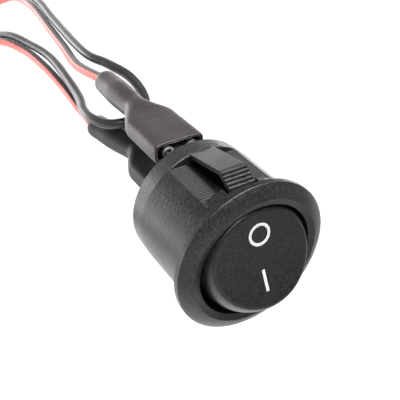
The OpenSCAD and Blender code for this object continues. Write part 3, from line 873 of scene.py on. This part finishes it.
@dataclass
class Sleeve:
    """Soft sleeve: flat over the receptacle, then a shoulder and a tube over the crimps."""

    node: str
    blade_z: float
    swing: float
    look: Look = Look.SLEEVE
    front: float = 18.2
    wide: float = 9.4
    shoulder: float = 4.95
    tube: float = 12.2
    half_w: float = 4.15
    half_h: float = 1.95
    tube_r: float = 2.075
    hole_r: float = 0.98
    corner: float = 1.0
    bulge: float = 0.15
    crimp_lift: float = 0.1
    roll_dip: float = 0.07
    bend: float = 4.0
    wall: float = 0.5
    columns: int = 96

    def stations(self) -> tuple[Array, Array]:
        """How far along the sleeve each ring lies and how far it stands in from the outer skin.

        The rings go from the wire hole over the rounded end and the outer skin to the mouth, round
        the mouth's lip and back along the inside.

        Returns:
            The places along the sleeve and the insets, one of each a ring.
        """
        length = self.wide + self.shoulder + self.tube
        round_from = length - self.corner
        turn = np.linspace(0.0, math.pi / 2, 10)
        face_in = np.linspace(self.tube_r - self.hole_r, self.corner, 5)[:-1]
        skin_at = np.concatenate([np.linspace(round_from, self.wide + 6, 24)[1:],
                                  np.linspace(self.wide + 6, self.wide - 2, 34)[1:],
                                  np.linspace(self.wide - 2, self.wall / 2, 16)[1:]])
        lip = np.linspace(0.0, math.pi, 9)[1:]
        inner_at = np.linspace(self.wall / 2, round_from - 0.6, 40)[1:]
        at = np.concatenate([np.full(len(face_in), length), round_from + self.corner * np.cos(turn),
                             skin_at, self.wall / 2 * (1 - np.sin(lip)), inner_at])
        inset = np.concatenate([face_in, self.corner * (1 - np.sin(turn)), np.zeros(len(skin_at)),
                                self.wall / 2 * (1 - np.cos(lip)),
                                np.full(len(inner_at), self.wall)])
        return at, inset

    def heading(self, at: Array) -> Array:
        """Angle by which the centre line has turned aside, a smooth step at the neck."""
        bend_from = self.wide + self.shoulder - 0.6 - self.bend / 2
        return math.radians(self.swing) * smooth_step((at - bend_from) / self.bend)

    def grid(self) -> Array:
        """Points of the sleeve.

        Each ring is a rounded box that turns into a circle along the shoulder: across, the half
        width times the signed power of the cosine, and up, the half height times that of the sine,
        with the power rising from a box's to a circle's, and softer below than above. The rings
        stand on a centre line that adds up steps along its heading.

        Returns:
            Its points, ring by ring.
        """
        at, inset = self.stations()
        neck = self.wide + self.shoulder
        end = neck + self.tube
        along = [0.0, 2.0, self.wide - 0.3, neck + 0.3, neck + 6.0, end - 2.0, end]
        tube = [self.tube_r + self.bulge, self.tube_r, self.tube_r - 0.1]
        half_w = eased(at, along, [self.half_w - 0.05, self.half_w, self.half_w - 0.03, self.tube_r]
                       + tube)
        half_h = eased(at, along, [self.half_h] * 3 + [self.tube_r - 0.1] + tube)
        box_to_tube = [0.0, self.wide - 0.6, neck + 1.0]
        top_power = eased(at, box_to_tube, [0.36, 0.42, 1.0])
        base_power = eased(at, box_to_tube, [0.62, 0.62, 1.0])
        centre_z = eased(at, [0.0, self.wide - 0.4, neck], [-0.1, -0.1, 0.3])
        angle = round_angles(self.columns, 0.5)
        cos, sin = np.cos(angle), np.sin(angle)
        power = np.where(sin > 0, top_power[:, None], base_power[:, None])
        across = signed_power(cos, power) * (half_w - inset)[:, None]
        up = signed_power(sin, power) * (half_h - inset)[:, None]
        # Crimp wings and the receptacle's rolls press through the soft wall.
        outer = (inset < self.wall * 0.4)[:, None]
        crimp = smooth_step((at - neck - 0.5) / 2.0) * smooth_step((neck + 7.5 - at) / 2.0)
        ridge = np.exp(-((angle - math.pi / 2) / 0.45) ** 2)
        up = up + outer * self.crimp_lift * crimp[:, None] * ridge
        rolls = smooth_step((at - 0.3) / 2.0) * smooth_step((self.wide - 0.5 - at) / 1.5)
        valley = (1 - smooth_step(np.abs(across) / 2.6)) * np.sign(sin)
        up = up - outer * self.roll_dip * rolls[:, None] * valley
        fine = np.linspace(0.0, end, 400)
        turn = self.heading(fine)[1:]
        line_x = np.concatenate([[0.0], np.cumsum(-np.sin(turn) * fine[1])])
        line_y = np.concatenate([[0.0], np.cumsum(np.cos(turn) * fine[1])])
        here = self.heading(at)[:, None]
        return grid_of(np.interp(at, fine, line_x)[:, None] + across * np.cos(here),
                       np.interp(at, fine, line_y)[:, None] + across * np.sin(here) + self.front,
                       up + centre_z[:, None] + self.blade_z)

    def build(self, finishes: Finishes) -> Piece:
        """Makes the sleeve in place of its solid.

        Args:
            finishes: The finishes.

        Returns:
            The sleeve.
        """
        sleeve = piece_from_grid(self.node + "_soft", self.grid(), wrap_rows=True)
        finishes.dress(sleeve, self.look)
        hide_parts(self.node)
        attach(sleeve, "switch_body")
        return sleeve


# --- rocker ---


@dataclass(frozen=True)
class RockerFrame:
    """Where the rocker stands, and the form of its dished face."""

    pivot_y: float = 1.15
    tilt: float = 20.0
    face_h: float = 4.45
    dish_r: float = 25.5

    def face(self, y: Array) -> Array:
        """Height of the face over the pivot: the middle height plus the dish radius less the root
        of the dish radius squared less y squared."""
        return self.face_h + self.dish_r - np.sqrt(self.dish_r**2 - y**2)

    def place(self, x: Array, y: Array, h: Array) -> Array:
        """Points turned with the rocker about its pivot, from X across the face, Y up it and the
        height over the pivot out of it."""
        turn = math.radians(90 - self.tilt)
        return grid_of(x, y * math.cos(turn) - h * math.sin(turn) + self.pivot_y,
                       y * math.sin(turn) + h * math.cos(turn))


@dataclass
class RockerShell:
    """The moulded rocker with a soft rim, in place of its solid: skin, boss, web and pins."""

    at: RockerFrame = RockerFrame()
    skirt_r: float = 8.1
    skirt_back: float = 0.5
    arc_r: float = 5.7
    arc_h: float = 1.5
    wall: float = 1.1
    rim: float = 0.42
    inner_rim: float = 0.02
    lip: float = 0.12
    pin_r: float = 1.0
    pin_reach: float = 9.3
    web_half: float = 0.5
    boss_r: float = 2.2
    boss_back: float = 4.6
    bore_r: float = 1.25
    bore_h: float = 2.4
    ease: float = 0.15
    middle_r: float = 0.02
    columns: int = 240

    def rim_radius(self, sin: Array, inset: float) -> Array:
        """Radius where the side arc meets the dished face, in each direction round.

        The height of the face at a first radius gives the arc's radius at that height, and so on
        until the two agree.

        Args:
            sin: Sine of each direction.
            inset: How far the surface stands in from the outer skin.

        Returns:
            The radius in each direction.
        """
        radius = np.full_like(sin, self.skirt_r - 1.0)
        for _ in range(30):
            height = self.at.face(radius * sin) - inset
            radius = (self.skirt_r - self.arc_r
                      + np.sqrt((self.arc_r - inset)**2 - (height - self.arc_h)**2))
        return radius

    def half_skin(self, sin: Array, inset: float, rim: float) -> Array:
        """Radius and height of rings from the side wall's foot over the rim to the face's middle.

        The rim is the curve (1 - t) squared A + 2t(1 - t) P + t squared B, where P is the sharp
        corner and A and B lie the rim's width from it down the side and in along the face.

        Args:
            sin: Sine of each direction.
            inset: How far the skin stands in from the outer one.
            rim: Width of the soft rim.

        Returns:
            Rings by radius and height by direction.
        """
        centre, arc = self.skirt_r - self.arc_r, self.arc_r - inset
        corner_r = self.rim_radius(sin, inset)
        corner_h = self.at.face(corner_r * sin) - inset
        inner_r = corner_r - rim
        top = np.arcsin((corner_h - self.arc_h) / arc) - rim / arc
        angle = np.linspace(0.0, 1.0, 26)[:, None] * top
        side = np.stack([centre + arc * np.cos(angle), self.arc_h + arc * np.sin(angle)], axis=1)
        high = np.stack([inner_r, self.at.face(inner_r * sin) - inset])
        t = np.linspace(0.0, 1.0, 12)[1:, None, None]
        soft = ((1 - t)**2 * side[-1] + 2 * t * (1 - t) * np.stack([corner_r, corner_h])
                + t**2 * high)
        radius = np.linspace(1.0, 0.006, 40)[1:, None] * inner_r
        face = np.stack([radius, self.at.face(radius * sin) - inset], axis=1)
        return np.concatenate([side, soft, face])

    def skin(self) -> Array:
        """Grid of the closed skin, from the middle of the ceiling inside round the skirt's lip to
        the middle of the face.

        Returns:
            Its points, ring by ring.
        """
        angle = round_angles(self.columns)
        sin = np.sin(angle)
        turn = np.linspace(0.0, math.pi / 2, 5)
        foot = self.lip - self.skirt_back
        inner = grid_of(self.skirt_r - self.wall + self.lip * (1 - np.cos(turn)),
                        foot - self.lip * np.sin(turn))
        outer = grid_of(self.skirt_r - self.lip * (1 - np.sin(turn)),
                        foot - self.lip * np.cos(turn))
        lip = np.concatenate([inner, outer])[:, :, None] * np.ones_like(sin)
        rings = np.concatenate([self.half_skin(sin, self.wall, self.inner_rim)[::-1], lip,
                                self.half_skin(sin, 0.0, self.rim)])
        radius, height = rings[:, 0], rings[:, 1]
        return self.at.place(radius * np.cos(angle), radius * sin, height)

    def boss(self) -> Array:
        """Grid of the hollow boss that holds the plunger: a profile of radius and height, with eased
        edges at its open end, turned about the rocker's middle line.

        Returns:
            Its points, ring by ring.
        """
        top, back = self.at.face_h - self.wall * 0.6, -self.boss_back
        profile = [(self.middle_r, self.bore_h), (self.bore_r, self.bore_h),
                   (self.bore_r, back + self.ease), (self.bore_r + self.ease, back),
                   (self.boss_r - self.ease, back), (self.boss_r, back + self.ease),
                   (self.boss_r, top), (self.middle_r, top)]
        angle = round_angles(64)
        radius, height = np.array(profile).T[:, :, None]
        return self.at.place(radius * np.cos(angle), radius * np.sin(angle), height)

    def pin(self, side: float) -> Array:
        """Grid of one pivot pin with an eased end, from inside the side wall outwards.

        Args:
            side: 1 or -1, the side it stands on.

        Returns:
            Its points, ring by ring.
        """
        angle = round_angles(48)
        start = self.skirt_r - self.wall / 2
        profile = np.array([(start, 0.0), (self.pin_reach - self.ease, 0.0),
                            (self.pin_reach - 0.04, 0.04), (self.pin_reach, self.ease)])
        out, radius = profile[:, :1], self.pin_r - profile[:, 1:]
        return self.at.place(side * out, radius * np.cos(angle), radius * np.sin(angle))

    def web(self) -> Array:
        """Grid of the web across the inside: rings of one rounded box outline set along X.

        Returns:
            Its points, ring by ring.
        """
        angle = round_angles(32, 0.5)
        low, high = -self.skirt_back, self.at.face_h - self.wall / 2
        reach = self.skirt_r - self.wall / 2
        return self.at.place(
            np.linspace(-reach, reach, 9)[:, None],
            signed_power(np.cos(angle), 0.2) * self.web_half,
            (low + high) / 2 + signed_power(np.sin(angle), 0.2) * (high - low) / 2)

    def build(self, finishes: Finishes) -> list[Piece]:
        """Makes the skin and what it carries inside.

        Args:
            finishes: The finishes.

        Returns:
            The pieces.
        """
        skin = piece_from_grid("rocker_skin", self.skin())
        pieces = [skin,
                  piece_from_grid("rocker_boss", self.boss()),
                  piece_from_grid("rocker_web", self.web()),
                  piece_from_grid("rocker_pin_right", self.pin(1.0)),
                  piece_from_grid("rocker_pin_left", self.pin(-1.0), flip=True)]
        for piece in pieces:
            finishes.dress(piece, Look.ROCKER)
            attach(piece, "rocker")
        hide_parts("rocker")
        return pieces


@dataclass
class RockerMarks:
    """White O and I standing a hair proud of the rocker's dished face."""

    at: RockerFrame = RockerFrame()
    ring_at: Pair = (0.0, 3.3)
    ring_half: Pair = (1.45, 1.38)
    stroke: float = 0.42
    bar_at: Pair = (-0.2, -3.12)
    bar_half: Pair = (0.22, 1.48)
    proud: float = 0.02
    sunk: float = 0.08
    ease: float = 0.01

    def build(self, finishes: Finishes) -> list[Piece]:
        """Makes both marks.

        Args:
            finishes: The finishes.

        Returns:
            The two marks.
        """
        marks = [piece_from_grid("mark_off", self.ring(), wrap_rows=True, flip=True),
                 piece_from_grid("mark_on", self.bar())]
        for mark in marks:
            finishes.dress(mark, Look.MARK)
            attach(mark, "rocker")
        return marks

    def ring(self) -> Array:
        """Grid of the O: a flat band carried round an oval, its section a low box with soft
        edges.

        Returns:
            Its points, ring by ring.
        """
        turn = round_angles(96)[:, None]
        half, inner = self.stroke / 2, self.stroke / 2 - 0.03
        out = np.array([half, half, inner, -inner, -half, -half])
        edge = [-self.sunk, self.proud - self.ease, self.proud]
        x = self.ring_at[0] + (self.ring_half[0] + out) * np.cos(turn)
        y = self.ring_at[1] + (self.ring_half[1] + out) * np.sin(turn)
        return self.at.place(x, y, self.at.face(y) + np.array(edge + edge[::-1]))

    def bar(self) -> Array:
        """Grid of the I: rings of one rounded box outline, shrinking in over its soft edge.

        Returns:
            Its points, ring by ring.
        """
        angle = round_angles(64)
        shrink = np.array([0.0, 0.0, 0.03, 0.14])[:, None]
        lift = np.array([-self.sunk, self.proud - self.ease, self.proud, self.proud])[:, None]
        x = self.bar_at[0] + signed_power(np.cos(angle), 0.12) * (self.bar_half[0] - shrink)
        y = self.bar_at[1] + signed_power(np.sin(angle), 0.12) * (self.bar_half[1] - shrink)
        return self.at.place(x, y, self.at.face(y) + lift)


# --- carried-over nodes ---


@dataclass
class CarriedNodes:
    """Nodes whose solids already have the right shape and only need their finish."""

    by_look: dict[Look, tuple[str, ...]] = field(default_factory=lambda: {
        Look.HOUSING: ("housing",),
        Look.NYLON: ("plunger",),
        Look.STEEL: ("plunger_spring",),
        Look.BRASS: ("contact_lever",),
        Look.SILVER: ("moving_contact", "fixed_contact"),
        Look.TIN: ("switched_terminal", "common_terminal", "upper_receptacle",
                   "lower_receptacle"),
        Look.COPPER: ("upper_conductor", "lower_conductor")})

    def build(self, finishes: Finishes) -> None:
        """Dresses each node."""
        for look, names in self.by_look.items():
            for node in (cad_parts[name] for name in names):
                finishes.dress(node, look)
                report(look.value[0], node)


def report(kind: str, piece: Piece) -> None:
    """Logs a piece with its number of faces."""
    log.info("%s %s, %d faces", kind, piece.name, len(piece.data.polygons))


def main() -> None:
    """Builds the studio, the leads, the sleeves, the rocker and the finishes in order."""
    logging.basicConfig(level=logging.INFO, format="%(name)s: %(message)s")
    Studio().build()
    finishes = Finishes()
    TwinLead().build(finishes)
    report("sleeve", Sleeve("upper_sleeve", blade_z=6.75, swing=0.0).build(finishes))
    # The lower sleeve wears the darker vinyl copy, painted shade under the upper sleeve.
    report("sleeve", Sleeve("lower_sleeve", blade_z=-1.1, swing=12.0,
                            look=Look.SHADED_DULL_SLEEVE).build(finishes))
    for piece in RockerShell().build(finishes) + RockerMarks().build(finishes):
        report("rocker", piece)
    CarriedNodes().build(finishes)


if __name__ == "__main__":
    main()
